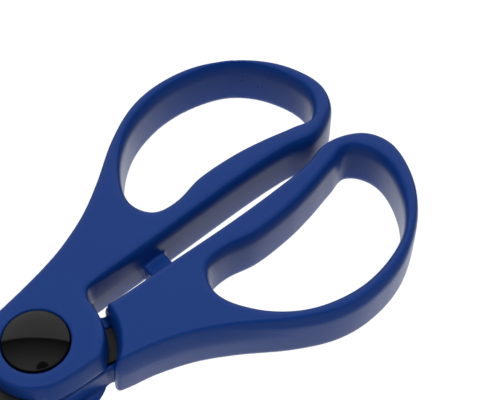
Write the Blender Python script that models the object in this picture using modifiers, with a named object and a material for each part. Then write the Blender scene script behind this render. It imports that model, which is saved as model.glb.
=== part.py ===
"""Office scissors: two insert-moulded halves turning on one pivot, lying closed on a flat surface.

Frame: metres, +Z up. The origin is where the pivot axis meets the resting plane. The finger bows
lie towards +X, the blades point along -X, and the upper half's bow is on the +Y side.

Each piece of a half is drawn in the half's own frame, which is the world frame for the upper
half. The lower half is drawn by the same functions, with its own bow sizes, and then turned over
about the long axis.
"""

import math
from dataclasses import dataclass

import bmesh
import bpy
from mathutils import Vector
from mathutils.geometry import interpolate_bezier

# ---------------------------------------------------------------- driving sizes, in millimetres

HANDLE_THICKNESS = 15.0      # moulded handle, face to face
EDGE_ROUND = 1.8             # rounding of the moulding's outer edges


@dataclass(frozen=True)
class Bow:
    """Sizes of one handle in plan, with the scissors closed."""

    end: float               # pivot axis to the far end of the bow
    reach: float             # long axis to the outer side of the bow
    hole_start: float        # pivot axis to the near end of the finger hole
    end_wall: float          # bow wall at its far end
    side_wall: float         # bow wall at its outer side
    bar_width: float         # straight bar between the finger hole and the gap
    gap_half: float          # long axis to the bar
    nose_gap_half: float     # long axis to the bow's nose, where the bows come closest
    neck_swell: float        # how much fuller the neck is beside the hub

    @property
    def edge_round(self):
        """Rounding of the outer edges, no more than the thinnest wall holds."""
        return min(EDGE_ROUND, 0.46 * min(self.side_wall, self.end_wall, self.bar_width))

    @property
    def hole_length(self):
        """Finger hole along the handle."""
        return self.end - self.end_wall - self.hole_start

    @property
    def hole_near(self):
        """Long axis to the finger hole."""
        return self.gap_half + self.bar_width

    @property
    def hole_width(self):
        """Finger hole across the handle."""
        return self.reach - self.side_wall - self.hole_near


UPPER_BOW = Bow(
    end=96.7, reach=38.9, hole_start=39.2, end_wall=4.8, side_wall=3.5, bar_width=6.6,
    gap_half=3.1, nose_gap_half=1.2, neck_swell=0.0)
LOWER_BOW = Bow(
    end=97.9, reach=39.7, hole_start=39.2, end_wall=5.6, side_wall=3.8, bar_width=6.5,
    gap_half=3.3, nose_gap_half=1.3, neck_swell=2.2)

HUB_RADIUS = 12.4            # moulded hub, in front of the pivot
HUB_SIDE = 12.8              # long axis to the hub's straight side
HUB_TAIL_RADIUS = 15.9       # curved tail of the hub, which faces the other half's shoulder
HUB_CORNER = 2.6             # rounding of the corner between the hub's side and its tail
SHOULDER_RADIUS = 18.0       # hollow shoulder where a handle becomes full thickness
SHOULDER_ROUND = 1.6         # rounding of the shoulder's outer edge
SLIDE_GAP = 0.3              # between the two halves' meeting faces
CLEARANCE = 0.3              # between pieces that touch

STOP_START = 32.4            # pivot axis to the closing stop
STOP_LENGTH = 6.1            # closing stop, along the bar
STOP_DROP = 1.5              # underside of the handle to the underside of the closing stop

BLADE_REACH = 112.0          # pivot axis to the tips
BLADE_THICKNESS = 1.85       # steel strip
BLADE_HUB_RADIUS = 10.6      # blade around the pivot hole
BLADE_TIP_HALF = 1.6         # half the blade's width where the tip starts
TIP_LENGTH = 3.0             # pointed tip
HEEL_START = 17.0            # pivot axis to the start of the cutting edge
HEEL_HEIGHT = 5.2            # long axis to the cutting edge at its heel
EDGE_LAND = 0.35             # steel left at the cutting edge
EDGE_BEVEL = 3.4             # width of the ground bevel
TANG_END = 35.0              # pivot axis to the end of the tang
TANG_WIDTH = 8.6             # tang inside the handle
TANG_RISE = 6.0              # bar's face to the tang, at the tang's end
KEY_HOLE_RADIUS = 2.1        # holes in the tang that the moulding fills

PIVOT_RADIUS = 3.0           # shoulder of the pivot screw
THREAD_RADIUS = 2.2          # threaded end of the pivot screw
SCREW_HEAD_RADIUS = 5.4
SCREW_HEAD_HEIGHT = 2.0
SLOT_WIDTH = 1.2             # screwdriver slot
SLOT_DEPTH = 0.9
NUT_RADIUS = 5.3             # across the nut's corners
NUT_HEIGHT = 2.2
WASHER_RADIUS = 5.6
WASHER_THICKNESS = 0.7
SPRING_LIFT = 0.25           # rise of the dished spring washer's rim

CAP_RADIUS = 7.6             # covers over the pivot
CAP_DOME = 1.9               # rise of the domed cover
CAP_WALL = 1.0
CAP_SKIRT = 2.6              # depth of the covers' skirts

# ---------------------------------------------------------------- values that follow from them

MM = 0.001
MEETING_Z = HANDLE_THICKNESS / 2 + SLIDE_GAP / 2
BLADE_TOP = MEETING_Z + BLADE_THICKNESS
BAR_FACE = min(UPPER_BOW.gap_half, LOWER_BOW.gap_half)
CAP_SEAT_RADIUS = CAP_RADIUS + CLEARANCE
OVERCUT = 2.0                # how far a cutter runs past the faces it opens
FLAT_ANGLE = math.radians(0.1)
WELD_REACH = 0.005           # corners closer than this are one

# Finger hole, as shares of its length and width, from its near end round the outer side.
HOLE_SHAPE = (
    (0.00, 0.26), (0.07, 0.56), (0.19, 0.80), (0.33, 0.94), (0.51, 1.00), (0.70, 0.94),
    (0.84, 0.80), (0.95, 0.52), (1.00, 0.14), (0.93, -0.12), (0.82, -0.09), (0.67, -0.02),
    (0.51, 0.03), (0.31, 0.04), (0.15, -0.02), (0.04, 0.03),
)

# Gap side of the bar, as shares of the hole's length and how far the bar narrows there.
BAR_SHAPE = ((0.25, 0.2), (0.50, 0.2), (0.72, -0.4))

# Outer side of a handle, as shares of its end and reach, from the neck to the bow's nose.
NECK_SHARE = 0.45            # share of the handle where the neck's swelling ends
OUTER_SHAPE = (
    (0.125, 0.380), (0.195, 0.428), (0.286, 0.523), (0.371, 0.654), (0.479, 0.846),
    (0.576, 0.964), (0.670, 1.000), (0.780, 0.958), (0.877, 0.830), (0.945, 0.668),
    (0.985, 0.490), (1.000, 0.310), (0.980, 0.165), (0.935, 0.075),
)


# ---------------------------------------------------------------- scene and materials

def clear_scene():
    """Remove every object that the file opens with."""
    for item in list(bpy.data.objects):
        bpy.data.objects.remove(item, do_unlink=True)


def new_collection(name):
    """Return a new collection under the scene."""
    collection = bpy.data.collections.new(name)
    bpy.context.scene.collection.children.link(collection)
    return collection


def new_material(name, colour, roughness, metallic=0.0):
    """Return a Principled material of one colour."""
    material = bpy.data.materials.new(name)
    material.use_nodes = True
    shader = material.node_tree.nodes["Principled BSDF"]
    shader.inputs["Base Color"].default_value = (*colour, 1.0)
    shader.inputs["Roughness"].default_value = roughness
    shader.inputs["Metallic"].default_value = metallic
    return material


def new_half(name, turned_over, collection):
    """Return the empty on the pivot axis that carries one half."""
    empty = bpy.data.objects.new(name, None)
    empty.empty_display_size = 10.0 * MM
    if turned_over:
        empty.location = (0.0, 0.0, HANDLE_THICKNESS * MM)
        empty.rotation_euler = (math.pi, 0.0, 0.0)
    collection.objects.link(empty)
    return empty


def place(item, half, collection):
    """Put an object in a collection and hang it on its half."""
    collection.objects.link(item)
    item.parent = half


# ---------------------------------------------------------------- outlines, in millimetres

def arc(radius, start, end, steps):
    """Return points on a circle about the pivot, with angles in degrees."""
    points = []
    for index in range(steps + 1):
        angle = math.radians(start + (end - start) * index / steps)
        points.append(Vector((radius * math.cos(angle), radius * math.sin(angle))))
    return points


def smooth(knots, steps, closed=False):
    """Return points on a curve that passes smoothly through the knots."""
    knots = [Vector(knot) for knot in knots]
    count = len(knots)
    points = []
    for index in range(count if closed else count - 1):
        first = knots[index]
        second = knots[(index + 1) % count]
        before = knots[index - 1] if closed or index else first
        after = knots[(index + 2) % count] if closed or index + 2 < count else second
        reach = (second - first).length / 3.0
        leave = first + (second - before).normalized() * reach
        arrive = second - (after - first).normalized() * reach
        points.extend(interpolate_bezier(first, leave, arrive, second, steps + 1)[:-1])
    if not closed:
        points.append(knots[-1])
    return [Vector(point[:2]) for point in points]


def rounded_corner(before, corner, after, radius, steps):
    """Return the arc that rounds the corner between two straight runs."""
    to_before = (before - corner).normalized()
    to_after = (after - corner).normalized()
    half_angle = to_before.angle(to_after) / 2.0
    inward = (to_before + to_after).normalized()
    centre = corner + inward * (radius / math.sin(half_angle))
    run = radius / math.tan(half_angle)
    start = corner + to_before * run - centre
    turn = start.angle_signed(corner + to_after * run - centre)
    points = []
    for index in range(steps + 1):
        angle = -turn * index / steps
        across = Vector((-start.y, start.x))
        points.append(centre + start * math.cos(angle) + across * math.sin(angle))
    return points


def finger_hole(bow):
    """Return the outline of a finger hole."""
    knots = []
    for along, across in HOLE_SHAPE:
        knots.append((
            bow.hole_start + along * bow.hole_length,
            bow.hole_near + across * bow.hole_width))
    return smooth(knots, 3, closed=True)


def handle_outline(bow):
    """Return the outline of a whole handle, hub and bow together."""
    tail_start = math.degrees(math.asin(-HUB_SIDE / HUB_TAIL_RADIUS))
    side_end = Vector((HUB_TAIL_RADIUS * math.cos(math.radians(tail_start)), -HUB_SIDE))
    side_start = Vector((0.25 * HUB_RADIUS, -HUB_SIDE))
    tail = arc(HUB_TAIL_RADIUS, tail_start, 3.0, 8)

    outline = arc(HUB_RADIUS, 84.0, 262.0, 22)
    outline.append(side_start)
    outline.extend(rounded_corner(side_start, side_end, tail[2], HUB_CORNER, 4))
    outline.extend(tail[2:])

    knots = [
        (HUB_TAIL_RADIUS + 0.5, 2.0), (HUB_TAIL_RADIUS + 1.4, bow.gap_half - 0.25),
        (HUB_TAIL_RADIUS + 3.4, bow.gap_half), (bow.hole_start - 4.0, bow.gap_half),
    ]
    for along, narrowing in BAR_SHAPE:
        knots.append((bow.hole_start + along * bow.hole_length, bow.gap_half + narrowing))
    knots.append((bow.hole_start + 0.86 * bow.hole_length, bow.nose_gap_half))
    for along, across in reversed(OUTER_SHAPE):
        swell = bow.neck_swell * max(0.0, 1.0 - along / NECK_SHARE)
        knots.append((along * bow.end, across * bow.reach + swell))
    knots.append((0.40 * HUB_RADIUS, HUB_RADIUS + 0.7 + 0.5 * bow.neck_swell))
    outline.extend(smooth(knots, 4))
    return outline


def blade_outline():
    """Return the outline of a blade and its tang."""
    tip = Vector((-BLADE_REACH, 0.0))
    spine_tip = Vector((TIP_LENGTH - BLADE_REACH, -BLADE_TIP_HALF))
    edge_tip = Vector((TIP_LENGTH - BLADE_REACH, 0.5 * BLADE_TIP_HALF))
    outline = smooth((edge_tip, tip + Vector((0.4, 0.3)), tip + Vector((0.3, -0.4)), spine_tip), 3)
    outline.extend(arc(BLADE_HUB_RADIUS, -94.7, -6.0, 12))
    outline.extend((
        Vector((HUB_TAIL_RADIUS - 0.6, BAR_FACE + 1.3)),
        Vector((SHOULDER_RADIUS + 3.0, BAR_FACE + 2.4)),
        Vector((TANG_END, BAR_FACE + TANG_RISE)),
        Vector((TANG_END, BAR_FACE + TANG_RISE + TANG_WIDTH)),
    ))
    outline.extend(arc(BLADE_HUB_RADIUS, 68.0, 150.0, 10))
    outline.append(Vector((-HEEL_START, HEEL_HEIGHT)))
    return outline


def key_hole_places():
    """Return the centres of the holes in the tang."""
    first = Vector((SHOULDER_RADIUS + 5.2, BAR_FACE + 6.2))
    return (first, first + Vector((7.2, 2.6)))


# ---------------------------------------------------------------- solids

def mesh_object(name, mesh):
    """Return a new object that holds the mesh."""
    return bpy.data.objects.new(name, mesh)


def flat_solid(name, loops, bottom, top, edge_round=0.0, grow=0.0):
    """Return a plate between two heights, with rounded edges if asked and grown sideways."""
    curve = bpy.data.curves.new(name, "CURVE")
    curve.dimensions = "2D"
    curve.fill_mode = "BOTH"
    curve.extrude = (0.5 * (top - bottom) - edge_round) * MM
    curve.bevel_depth = edge_round * MM
    curve.bevel_resolution = 2
    curve.offset = (grow - edge_round) * MM
    for loop in loops:
        spline = curve.splines.new("POLY")
        spline.points.add(len(loop) - 1)
        for point, place_2d in zip(spline.points, loop):
            point.co = (place_2d.x * MM, place_2d.y * MM, 0.0, 1.0)
        spline.use_cyclic_u = True
    drawn = bpy.data.objects.new(name + "_curve", curve)
    bpy.context.scene.collection.objects.link(drawn)
    graph = bpy.context.evaluated_depsgraph_get()
    mesh = bpy.data.meshes.new_from_object(drawn.evaluated_get(graph))
    bpy.data.objects.remove(drawn)
    shape = bmesh.new()
    shape.from_mesh(mesh)
    bmesh.ops.remove_doubles(shape, verts=shape.verts, dist=0.000001)
    bmesh.ops.translate(shape, verts=shape.verts, vec=(0.0, 0.0, 0.5 * (bottom + top) * MM))
    bmesh.ops.dissolve_limit(shape, angle_limit=FLAT_ANGLE, verts=[], edges=shape.edges)
    bmesh.ops.recalc_face_normals(shape, faces=shape.faces)
    shape.to_mesh(mesh)
    shape.free()
    mesh.name = name
    mesh.shade_smooth()
    mesh.set_sharp_from_angle(angle=math.radians(35.0))
    return mesh_object(name, mesh)


def turned_solid(name, profile, steps):
    """Return a profile of (radius, height) points turned about the pivot axis.

    The profile starts and ends on the axis, or closes on itself when it starts off the axis.
    """
    mesh = bpy.data.meshes.new(name)
    vertices = [(radius * MM, 0.0, height * MM) for radius, height in profile]
    edges = [(index, index + 1) for index in range(len(profile) - 1)]
    if profile[0][0] > 0.0:
        edges.append((len(profile) - 1, 0))
    mesh.from_pydata(vertices, edges, [])
    item = mesh_object(name, mesh)
    screw = item.modifiers.new("turn", "SCREW")
    screw.axis = "Z"
    screw.steps = steps
    screw.render_steps = steps
    screw.use_merge_vertices = True
    screw.merge_threshold = 0.00001
    return item


def cylinder(name, radius, bottom, top, centre=(0.0, 0.0), sides=32):
    """Return an upright cylinder or prism between two heights."""
    mesh = bpy.data.meshes.new(name)
    shape = bmesh.new()
    bmesh.ops.create_cone(
        shape, cap_ends=True, segments=sides,
        radius1=radius * MM, radius2=radius * MM, depth=(top - bottom) * MM)
    shift = (centre[0] * MM, centre[1] * MM, 0.5 * (bottom + top) * MM)
    bmesh.ops.translate(shape, verts=shape.verts, vec=shift)
    shape.to_mesh(mesh)
    shape.free()
    return mesh_object(name, mesh)


def box(name, low, high):
    """Return a box between two corners."""
    mesh = bpy.data.meshes.new(name)
    shape = bmesh.new()
    bmesh.ops.create_cube(shape, size=1.0)
    size = [(high[axis] - low[axis]) * MM for axis in range(3)]
    middle = [0.5 * (high[axis] + low[axis]) * MM for axis in range(3)]
    bmesh.ops.scale(shape, verts=shape.verts, vec=size)
    bmesh.ops.translate(shape, verts=shape.verts, vec=middle)
    shape.to_mesh(mesh)
    shape.free()
    return mesh_object(name, mesh)


def combine(target, other, operation, half, cutters):
    """Cut or join one solid with another, which is kept as a hidden cutter."""
    place(other, half, cutters)
    other.hide_render = True
    other.display_type = "WIRE"
    boolean = target.modifiers.new(other.name, "BOOLEAN")
    boolean.operation = operation
    boolean.solver = "EXACT"
    boolean.object = other


def weld(item):
    """Merge the doubled corners that cutting leaves behind."""
    modifier = item.modifiers.new("weld", "WELD")
    modifier.merge_threshold = WELD_REACH * MM


def annulus(inner, outer, bottom, top):
    """Return the closed profile of a flat ring."""
    return ((inner, top), (outer, top), (outer, bottom), (inner, bottom))


# ---------------------------------------------------------------- pieces of a half

def shoulder_cutter(name):
    """Return the turned solid that leaves a hub of half thickness inside the shoulder."""
    profile = [(0.0, MEETING_Z), (SHOULDER_RADIUS, MEETING_Z)]
    for angle in (0.0, 22.5, 45.0, 67.5):
        turn = math.radians(angle)
        profile.append((
            SHOULDER_RADIUS + SHOULDER_ROUND * (1.0 - math.cos(turn)),
            SHOULDER_ROUND * (1.0 - math.sin(turn))))
    profile.append((SHOULDER_RADIUS + 1.3 * SHOULDER_ROUND, -0.2 * SHOULDER_ROUND))
    profile.append((SHOULDER_RADIUS + 1.3 * SHOULDER_ROUND, -OVERCUT))
    profile.append((0.0, -OVERCUT))
    return turned_solid(name, profile, 96)


def blade_pocket(name, half, cutters):
    """Return the room that the blade and its tang take up, with posts left for the tang's holes."""
    pocket = flat_solid(
        name, [blade_outline()], MEETING_Z - CLEARANCE, BLADE_TOP + CLEARANCE, grow=CLEARANCE)
    for index, centre in enumerate(key_hole_places()):
        post = cylinder(
            f"{name}_post_{index + 1}", KEY_HOLE_RADIUS - CLEARANCE,
            MEETING_Z - OVERCUT, BLADE_TOP + OVERCUT, centre, 20)
        combine(pocket, post, "DIFFERENCE", half, cutters)
    return pocket


def make_handle(name, bow, half, collection, cutters, material):
    """Build one moulding: the finger bow, the hub with its cap seat, and the blade's pocket."""
    handle = flat_solid(
        name, [handle_outline(bow), finger_hole(bow)], 0.0, HANDLE_THICKNESS, bow.edge_round)
    place(handle, half, collection)
    handle.data.materials.append(material)
    combine(handle, shoulder_cutter(name + "_shoulder"), "DIFFERENCE", half, cutters)
    seat = cylinder(
        name + "_cap_seat", CAP_SEAT_RADIUS, MEETING_Z - OVERCUT, HANDLE_THICKNESS + OVERCUT,
        sides=48)
    combine(handle, seat, "DIFFERENCE", half, cutters)
    combine(handle, blade_pocket(name + "_pocket", half, cutters), "DIFFERENCE", half, cutters)
    return handle


def add_stop(handle, half, cutters):
    """Join the closing stop to the upper handle's bar, reaching across the gap to the other bar."""
    stop = box(
        "closing_stop",
        (STOP_START, CLEARANCE - LOWER_BOW.gap_half, STOP_DROP),
        (STOP_START + STOP_LENGTH, UPPER_BOW.gap_half + 0.5 * UPPER_BOW.bar_width,
         0.5 * HANDLE_THICKNESS))
    combine(handle, stop, "UNION", half, cutters)


def make_blade(name, half, collection, cutters, material):
    """Build one blade: the tapered steel strip, its ground bevel, tang holes and pivot hole."""
    blade = flat_solid(name, [blade_outline()], MEETING_Z, BLADE_TOP)
    place(blade, half, collection)
    blade.data.materials.append(material)
    hole = cylinder(
        name + "_pivot_hole", PIVOT_RADIUS + CLEARANCE,
        MEETING_Z - OVERCUT, BLADE_TOP + OVERCUT)
    combine(blade, hole, "DIFFERENCE", half, cutters)
    for index, centre in enumerate(key_hole_places()):
        key_hole = cylinder(
            f"{name}_key_hole_{index + 1}", KEY_HOLE_RADIUS,
            MEETING_Z - OVERCUT, BLADE_TOP + OVERCUT, centre, 20)
        combine(blade, key_hole, "DIFFERENCE", half, cutters)

    heel = Vector((-HEEL_START, HEEL_HEIGHT, MEETING_Z + EDGE_LAND)) * MM
    tip = Vector((TIP_LENGTH - BLADE_REACH, 0.5 * BLADE_TIP_HALF, MEETING_Z + EDGE_LAND)) * MM
    along = (tip - heel).normalized()
    slope = math.atan2(BLADE_THICKNESS - EDGE_LAND, EDGE_BEVEL)
    grinder = box(
        name + "_grinder",
        (-OVERCUT, -2.0 * EDGE_BEVEL, 0.0),
        ((tip - heel).length / MM + 2.0 * OVERCUT, 2.0 * EDGE_BEVEL, 4.0 * BLADE_THICKNESS))
    combine(blade, grinder, "DIFFERENCE", half, cutters)
    grinder.location = heel
    grinder.rotation_euler = (slope, 0.0, math.atan2(along.y, along.x))
    return blade


def make_cap(name, half, collection, material, rise):
    """Build a pivot cover: a thin disc, domed if it rises, with a skirt that fits the seat."""
    top = []
    steps = 8
    if rise > 0.0:
        sphere = (CAP_RADIUS ** 2 + rise ** 2) / (2.0 * rise)
        rim_angle = math.asin(CAP_RADIUS / sphere)
        for index in range(steps + 1):
            angle = rim_angle * index / steps
            height = HANDLE_THICKNESS + rise - sphere * (1.0 - math.cos(angle))
            top.append((sphere * math.sin(angle), height))
    else:
        top = [(0.0, HANDLE_THICKNESS), (CAP_RADIUS, HANDLE_THICKNESS)]
    skirt_end = HANDLE_THICKNESS - CAP_SKIRT
    inside = [
        (CAP_RADIUS, skirt_end),
        (CAP_RADIUS - CAP_WALL, skirt_end),
        (CAP_RADIUS - CAP_WALL, HANDLE_THICKNESS - CAP_WALL),
        (0.0, HANDLE_THICKNESS - CAP_WALL),
    ]
    cap = turned_solid(name, top + inside, 48)
    place(cap, half, collection)
    cap.data.materials.append(material)
    return cap


# ---------------------------------------------------------------- pivot hardware, on the lower half

def make_screw(name, half, collection, cutters, material):
    """Build the shouldered screw, drawn in the lower half's frame with its head at the bottom."""
    other_blade_top = HANDLE_THICKNESS - BLADE_TOP
    head_face = other_blade_top - 2.0 * CLEARANCE - WASHER_THICKNESS - SPRING_LIFT
    shoulder_end = BLADE_TOP + WASHER_THICKNESS + CLEARANCE
    thread_end = shoulder_end + CLEARANCE + NUT_HEIGHT
    profile = (
        (0.0, thread_end), (THREAD_RADIUS, thread_end), (THREAD_RADIUS, shoulder_end),
        (PIVOT_RADIUS, shoulder_end), (PIVOT_RADIUS, head_face), (SCREW_HEAD_RADIUS, head_face),
        (SCREW_HEAD_RADIUS, head_face - 0.7 * SCREW_HEAD_HEIGHT),
        (0.8 * SCREW_HEAD_RADIUS, head_face - SCREW_HEAD_HEIGHT),
        (0.0, head_face - SCREW_HEAD_HEIGHT),
    )
    screw = turned_solid(name, profile, 32)
    place(screw, half, collection)
    screw.data.materials.append(material)
    slot = box(
        name + "_slot",
        (-SCREW_HEAD_RADIUS - OVERCUT, -0.5 * SLOT_WIDTH, head_face - SCREW_HEAD_HEIGHT - OVERCUT),
        (SCREW_HEAD_RADIUS + OVERCUT, 0.5 * SLOT_WIDTH,
         head_face - SCREW_HEAD_HEIGHT + SLOT_DEPTH))
    combine(screw, slot, "DIFFERENCE", half, cutters)
    return screw


def make_nut(name, half, collection, cutters, material):
    """Build the hexagon nut on the threaded end."""
    bottom = BLADE_TOP + WASHER_THICKNESS + 2.0 * CLEARANCE
    nut = cylinder(name, NUT_RADIUS, bottom, bottom + NUT_HEIGHT, sides=6)
    place(nut, half, collection)
    nut.data.materials.append(material)
    bore = cylinder(
        name + "_bore", THREAD_RADIUS + CLEARANCE, bottom - OVERCUT,
        bottom + NUT_HEIGHT + OVERCUT, sides=24)
    combine(nut, bore, "DIFFERENCE", half, cutters)
    return nut


def make_spring_washer(name, half, collection, material):
    """Build the dished washer under the screw's head, between the head and the upper blade."""
    blade_face = HANDLE_THICKNESS - BLADE_TOP
    inner = PIVOT_RADIUS + CLEARANCE
    top = blade_face - CLEARANCE
    profile = (
        (inner, top - SPRING_LIFT), (WASHER_RADIUS, top),
        (WASHER_RADIUS, top - WASHER_THICKNESS),
        (inner, top - WASHER_THICKNESS - SPRING_LIFT),
    )
    washer = turned_solid(name, profile, 40)
    place(washer, half, collection)
    washer.data.materials.append(material)
    return washer


def make_thrust_washer(name, half, collection, material):
    """Build the flat nylon washer between the lower blade and the nut."""
    bottom = BLADE_TOP + 0.5 * CLEARANCE
    profile = annulus(PIVOT_RADIUS + CLEARANCE, WASHER_RADIUS, bottom, bottom + WASHER_THICKNESS)
    washer = turned_solid(name, profile, 40)
    place(washer, half, collection)
    washer.data.materials.append(material)
    return washer


# ---------------------------------------------------------------- the scissors

def main():
    """Build every piece in its closed, resting place."""
    clear_scene()
    collection = new_collection("office_scissors")
    cutters = new_collection("cutters")
    upper = new_half("upper_half", False, collection)
    lower = new_half("lower_half", True, collection)

    blue = (0.022, 0.060, 0.235)
    coating = (0.030, 0.031, 0.028)
    upper_handle = make_handle("upper_handle", UPPER_BOW, upper, collection, cutters,
                               new_material("upper_moulding", blue, 0.42))
    add_stop(upper_handle, upper, cutters)
    lower_handle = make_handle("lower_handle", LOWER_BOW, lower, collection, cutters,
                               new_material("lower_moulding", blue, 0.42))
    weld(upper_handle)
    weld(lower_handle)
    make_blade("upper_blade", upper, collection, cutters,
               new_material("upper_coated_steel", coating, 0.38, 0.3))
    make_blade("lower_blade", lower, collection, cutters,
               new_material("lower_coated_steel", coating, 0.38, 0.3))
    make_cap("pivot_cap", upper, collection,
             new_material("cap_plastic", (0.012, 0.012, 0.012), 0.12), CAP_DOME)
    make_cap("underside_cap", lower, collection,
             new_material("underside_cap_plastic", (0.012, 0.012, 0.012), 0.12), 0.0)
    make_screw("pivot_screw", lower, collection, cutters,
               new_material("screw_steel", (0.55, 0.55, 0.56), 0.25, 1.0))
    make_nut("pivot_nut", lower, collection, cutters,
             new_material("nut_steel", (0.50, 0.50, 0.50), 0.30, 1.0))
    make_spring_washer("spring_washer", lower, collection,
                       new_material("spring_steel", (0.35, 0.35, 0.36), 0.30, 1.0))
    make_thrust_washer("thrust_washer", lower, collection,
                       new_material("nylon", (0.80, 0.79, 0.74), 0.45))


main()
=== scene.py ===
"""Office scissors with soft-blue moulded handles, lying closed on a pale surface.

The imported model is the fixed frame. This script models the visible pieces around it, in metres:
the pivot axis is the Z axis, the finger bows lie towards +X and the blades point along -X. The
upper half is drawn where it lies. The lower half is drawn in its own frame and turned over.
"""

import logging
import math
from dataclasses import dataclass, field
from enum import Enum
from typing import Any, Callable, Dict, List, Sequence, Tuple, Union

import bmesh
import bpy
from mathutils import Matrix, Vector
from mathutils.geometry import interpolate_bezier


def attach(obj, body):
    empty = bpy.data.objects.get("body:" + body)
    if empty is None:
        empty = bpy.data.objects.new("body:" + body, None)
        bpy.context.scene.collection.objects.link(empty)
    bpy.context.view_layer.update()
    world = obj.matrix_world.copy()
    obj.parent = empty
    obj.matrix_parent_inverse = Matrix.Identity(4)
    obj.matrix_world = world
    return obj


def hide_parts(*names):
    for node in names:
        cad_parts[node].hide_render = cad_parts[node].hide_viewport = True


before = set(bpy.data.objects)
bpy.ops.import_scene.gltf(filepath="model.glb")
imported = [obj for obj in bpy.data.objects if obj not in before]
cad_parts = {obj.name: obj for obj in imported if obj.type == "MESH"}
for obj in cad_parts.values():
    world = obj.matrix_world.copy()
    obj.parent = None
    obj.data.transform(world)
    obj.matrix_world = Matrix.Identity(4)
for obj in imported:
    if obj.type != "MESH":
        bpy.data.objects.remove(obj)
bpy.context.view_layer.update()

logging.basicConfig(level=logging.INFO, format="%(message)s")
log = logging.getLogger("scissors")

MM = 0.001
SAME_POINT = 0.02    # outline points closer than this, in mm, are one point
SAME_CORNER = 0.0005    # corners of a mesh closer than this, in mm, are one corner
CUT_LOW = -2.0    # a cutter's ends, in mm, clear of every face that it cuts through
CUT_HIGH = 20.0

Point2 = Tuple[float, float]
Colour = Tuple[float, float, float]


# ------------------------------------------------------------------------------ shader building


class Signal:
    """A shader value that can be used in Python expressions."""

    def __init__(self, shader: "Shader", socket: bpy.types.NodeSocket) -> None:
        """Wrap one output socket.

        Args:
            shader: The node tree that the socket belongs to.
            socket: The output socket.
        """
        self.shader = shader
        self.socket = socket

    def _math(self, operation: str, *values: "Value") -> "Signal":
        """Return the result of one Math node."""
        return self.shader.add("ShaderNodeMath", {"operation": operation}, dict(enumerate(values)))

    def __add__(self, other: "Value") -> "Signal":
        """Return the sum."""
        return self._math("ADD", self, other)

    def __sub__(self, other: "Value") -> "Signal":
        """Return the difference."""
        return self._math("SUBTRACT", self, other)

    def __rsub__(self, other: "Value") -> "Signal":
        """Return the difference with the other value first."""
        return self._math("SUBTRACT", other, self)

    def __mul__(self, other: "Value") -> "Signal":
        """Return the product."""
        return self._math("MULTIPLY", self, other)

    def __abs__(self) -> "Signal":
        """Return the size without its sign."""
        return self._math("ABSOLUTE", self)

    def clamped(self) -> "Signal":
        """Return the value held between 0 and 1."""
        return self.shader.add(
            "ShaderNodeClamp", {}, {"Value": self, "Min": 0.0, "Max": 1.0})

    def step(self, low: float, high: float) -> "Signal":
        """Return a smooth rise from 0 at one value to 1 at another.

        Args:
            low: Value where the result is 0.
            high: Value where the result is 1.

        Returns:
            The smooth step.
        """
        return self.shader.add(
            "ShaderNodeMapRange", {"interpolation_type": "SMOOTHSTEP"},
            {"Value": self, "From Min": low, "From Max": high, "To Min": 0.0, "To Max": 1.0})


Value = Union[Signal, float, Sequence[float]]


class Shader:
    """The node tree of one material or world."""

    def __init__(self, tree: bpy.types.NodeTree) -> None:
        """Start on an existing tree.

        Args:
            tree: The node tree to build in.
        """
        self.tree = tree

    def add(self, kind: str, settings: Dict[str, Any], values: Dict[Any, Value],
            output: Union[int, str] = 0) -> Signal:
        """Add one node.

        Args:
            kind: The node's type.
            settings: Attributes that are set before its sockets are used.
            values: Numbers, colours or signals for its sockets, by name or place.
            output: The output socket to return.

        Returns:
            The chosen output.
        """
        node = self.tree.nodes.new(kind)
        for name, setting in settings.items():
            setattr(node, name, setting)
        for name, value in values.items():
            self.feed(node.inputs[name], value)
        return Signal(self, node.outputs[output])

    def feed(self, socket: bpy.types.NodeSocket, value: Value) -> None:
        """Link a signal to a socket, or set the socket to a number or colour.

        Args:
            socket: The input socket.
            value: What it gets.
        """
        if isinstance(value, Signal):
            self.tree.links.new(value.socket, socket)
        elif isinstance(value, (tuple, list)) and len(value) == 3 and socket.type == "RGBA":
            socket.default_value = (*value, 1.0)
        else:
            socket.default_value = value

    def place(self, scale: Sequence[float] = (1.0, 1.0, 1.0)) -> Signal:
        """Return the object's own coordinates, stretched by a scale for each axis."""
        coordinates = self.add("ShaderNodeTexCoord", {}, {}, "Object")
        return self.add("ShaderNodeMapping", {}, {"Vector": coordinates, "Scale": scale})

    def noise(self, at: Signal, scale: float, detail: float = 3.0,
              roughness: float = 0.5) -> Signal:
        """Return fractal noise between 0 and 1."""
        return self.add(
            "ShaderNodeTexNoise", {},
            {"Vector": at, "Scale": scale, "Detail": detail, "Roughness": roughness})

    def mix(self, share: Value, first: Value, second: Value) -> Signal:
        """Return a mix of two colours."""
        return self.add(
            "ShaderNodeMix", {"data_type": "RGBA"}, {0: share, 6: first, 7: second}, 2)

    def normal_axis(self, axis: str) -> Signal:
        """Return one component of the object's surface normal."""
        normal = self.add("ShaderNodeTexCoord", {}, {}, "Normal")
        return self.add("ShaderNodeSeparateXYZ", {}, {"Vector": normal}, axis)

    def along(self, direction: Signal, axis: Vector) -> Signal:
        """Return how far a direction points along an axis."""
        return self.add(
            "ShaderNodeVectorMath", {"operation": "DOT_PRODUCT"},
            {0: direction, 1: tuple(axis)}, "Value")

    def bump(self, height: Signal, strength: float, distance: float) -> Signal:
        """Return the normal of a surface with this height, strength and depth in metres."""
        return self.add(
            "ShaderNodeBump", {},
            {"Height": height, "Strength": strength, "Distance": distance})


def new_shader(name: str) -> Tuple[bpy.types.Material, Shader, bpy.types.Node]:
    """Make a material.

    Args:
        name: Name of the new material.

    Returns:
        The material, its node builder and its Principled shader.
    """
    material = bpy.data.materials.new(name)
    material.use_nodes = True
    return material, Shader(material.node_tree), material.node_tree.nodes["Principled BSDF"]


# ------------------------------------------------------------------------------ finishes


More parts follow.
